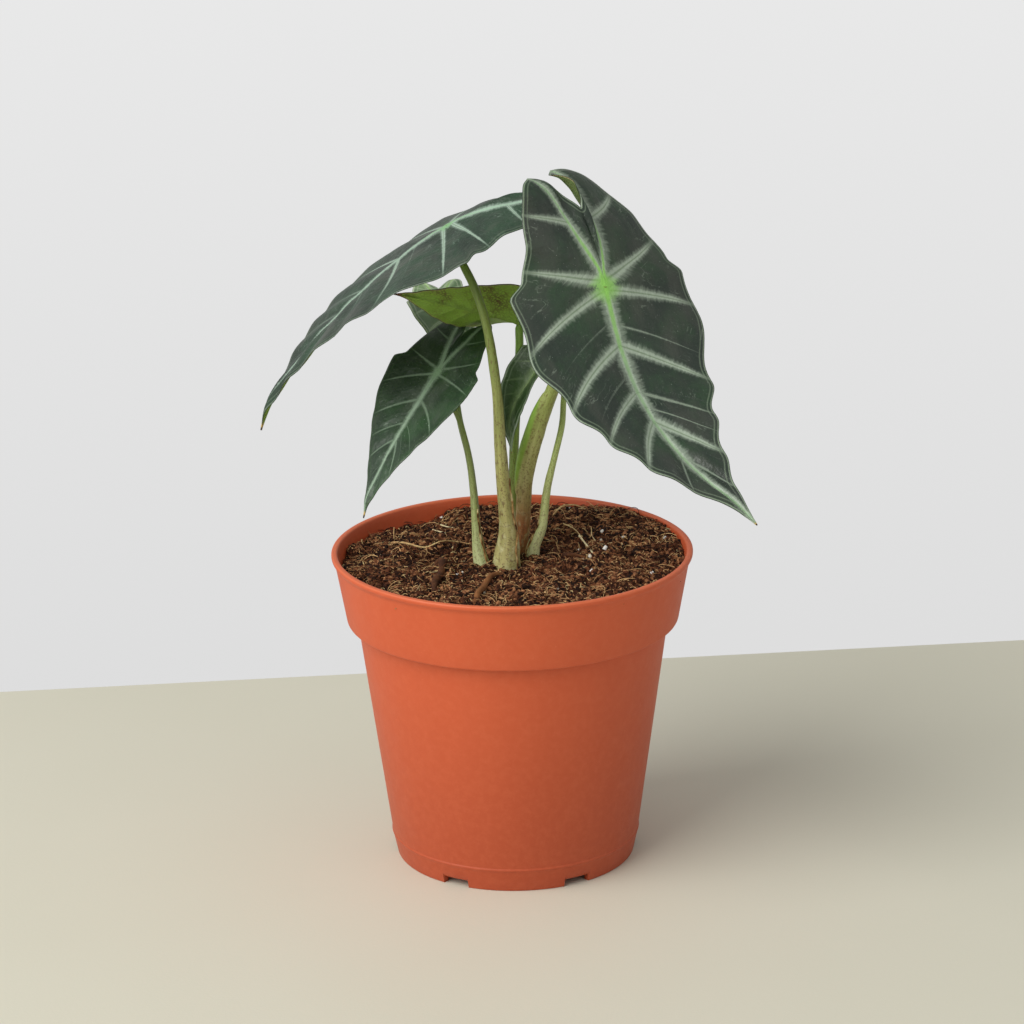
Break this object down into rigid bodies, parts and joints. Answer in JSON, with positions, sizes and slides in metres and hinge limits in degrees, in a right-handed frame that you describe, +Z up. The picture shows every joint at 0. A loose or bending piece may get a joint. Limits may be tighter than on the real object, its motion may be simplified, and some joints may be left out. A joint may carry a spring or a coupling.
{
  "type": "potted alocasia",
  "caption": "Young alocasia with arrow-shaped dark green leaves on slender stalks, growing in potting mix in a round tapered terracotta-orange plastic grower's pot.",
  "frame": {"origin": "on the ground under the middle of the pot, at the centre of its standing pad", "axes": "+Z up, -Y towards the front, where the right large leaf shows its upper face, +X to the right seen from the front"},
  "size_m": [0.1455, 0.1221, 0.2171],
  "materials": {
    "pot_plastic": "matte moulded, terracotta orange",
    "blade": "satin dark green with pale veins",
    "petiole": "smooth satin yellow-green, speckled",
    "rhizome": "rough, pale brown",
    "potting_mix": "matt, fibrous, dark brown"
  },
  "bodies": {
    "root": {"pot": "pot_plastic", "petiole_left_long": "petiole", "blade_left_long": "blade", "petiole_right_large": "petiole", "blade_right_large": "blade", "petiole_lower_left": "petiole", "blade_lower_left": "blade", "petiole_back_turned": "petiole", "blade_back_turned": "blade", "petiole_small_centre": "petiole", "blade_small_centre": "blade", "petiole_back_left": "petiole", "blade_back_left": "blade", "rhizome": "rhizome", "soil": "potting_mix"}
  },
  "joints": []
}
